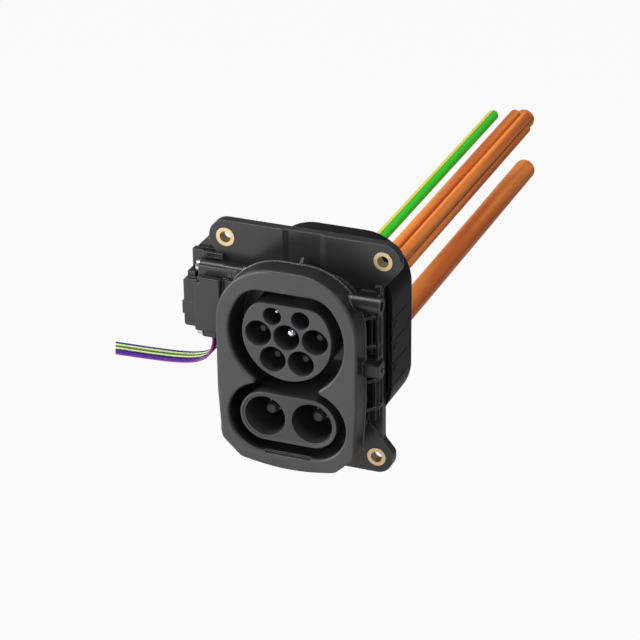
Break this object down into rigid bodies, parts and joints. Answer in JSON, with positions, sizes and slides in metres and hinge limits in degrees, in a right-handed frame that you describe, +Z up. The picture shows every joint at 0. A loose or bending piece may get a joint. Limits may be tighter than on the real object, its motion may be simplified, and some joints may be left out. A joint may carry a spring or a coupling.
{
  "type": "charge port inlet",
  "caption": "Combined AC and DC vehicle charging inlet with mounting flange, rear housing, orange cable tails, lock actuator and signal wires.",
  "frame": {"origin": "where the axis of the round AC socket meets the front plane of the mounting flange", "axes": "X to the right seen from outside the vehicle, Y into the vehicle along the socket axis, Z up"},
  "size_m": [0.1685, 0.4571, 0.137],
  "materials": {
    "black_moulding": "satin",
    "carrier_plastic": "satin",
    "housing_plastic": "satin",
    "silver_plate": "silver plated",
    "brass": "turned",
    "seal_rubber": "matte",
    "orange_sheath": "smooth",
    "green_sheath": "smooth",
    "gear_plastic": "smooth",
    "steel": "bright",
    "board_laminate": "satin",
    "magenta_wire": "smooth",
    "violet_wire": "smooth",
    "blue_wire": "smooth",
    "yellow_wire": "smooth",
    "green_wire": "smooth"
  },
  "bodies": {
    "inlet": {"ac_cable_1": "orange_sheath", "ac_cable_2": "orange_sheath", "ac_cable_3": "orange_sheath", "ac_cable_4": "orange_sheath", "ac_cable_seal": "seal_rubber", "ac_carrier": "carrier_plastic", "ac_carrier_gasket": "seal_rubber", "actuator_casing": "housing_plastic", "actuator_cover": "housing_plastic", "actuator_screw_1": "steel", "actuator_screw_2": "steel", "bolt_seal": "seal_rubber", "connector_shell": "housing_plastic", "contact_retainer": "housing_plastic", "dc_cable_1": "orange_sheath", "dc_cable_2": "orange_sheath", "dc_cable_seal_1": "seal_rubber", "dc_cable_seal_2": "seal_rubber", "dc_carrier": "carrier_plastic", "dc_carrier_gasket": "seal_rubber", "dc_contact_1": "silver_plate", "dc_contact_2": "silver_plate", "dc_guard_1": "carrier_plastic", "dc_guard_2": "carrier_plastic", "earth_cable": "green_sheath", "earth_contact": "silver_plate", "flange_bush_1": "brass", "flange_bush_2": "brass", "flange_bush_3": "brass", "flange_bush_4": "brass", "gear_axle": "steel", "guide_bush": "steel", "inlet_body": "black_moulding", "lock_motor": "steel", "pilot_contact": "silver_plate", "power_contact_1": "silver_plate", "power_contact_2": "silver_plate", "power_contact_3": "silver_plate", "power_contact_4": "silver_plate", "power_guard_1": "carrier_plastic", "power_guard_2": "carrier_plastic", "power_guard_3": "carrier_plastic", "power_guard_4": "carrier_plastic", "proximity_contact": "silver_plate", "rear_housing": "housing_plastic", "sensor_board": "board_laminate", "signal_wire_1": "magenta_wire", "signal_wire_2": "violet_wire", "signal_wire_3": "blue_wire", "signal_wire_4": "yellow_wire", "signal_wire_5": "green_wire", "signal_wire_6": "yellow_wire", "signal_wire_7": "violet_wire"},
    "lock_bolt_body": {"lock_bolt": "steel"},
    "reduction_gear_body": {"reduction_gear": "gear_plastic"},
    "motor_pinion_body": {"motor_pinion": "brass"}
  },
  "joints": [
    {"name": "bolt_slide", "type": "slide", "parent": "inlet", "child": "lock_bolt_body", "axis": [1, 0, 0], "range_m": [0, 0.007]},
    {"name": "gear_turn", "type": "hinge", "parent": "inlet", "child": "reduction_gear_body", "pos_m": [-0.044, -0.004, 0.0182], "axis": [0, 1, 0], "range_deg": [0, 100.5]},
    {"name": "motor_turn", "type": "hinge", "parent": "inlet", "child": "motor_pinion_body", "pos_m": [-0.0515, -0.004, 0.01159], "axis": [0, 1, 0], "range_deg": [-301.2, 0]}
  ],
  "couplings": [
    {"joint": "gear_turn", "follows": "bolt_slide", "rad_per_m": 250},
    {"joint": "motor_turn", "follows": "bolt_slide", "rad_per_m": -750}
  ]
}
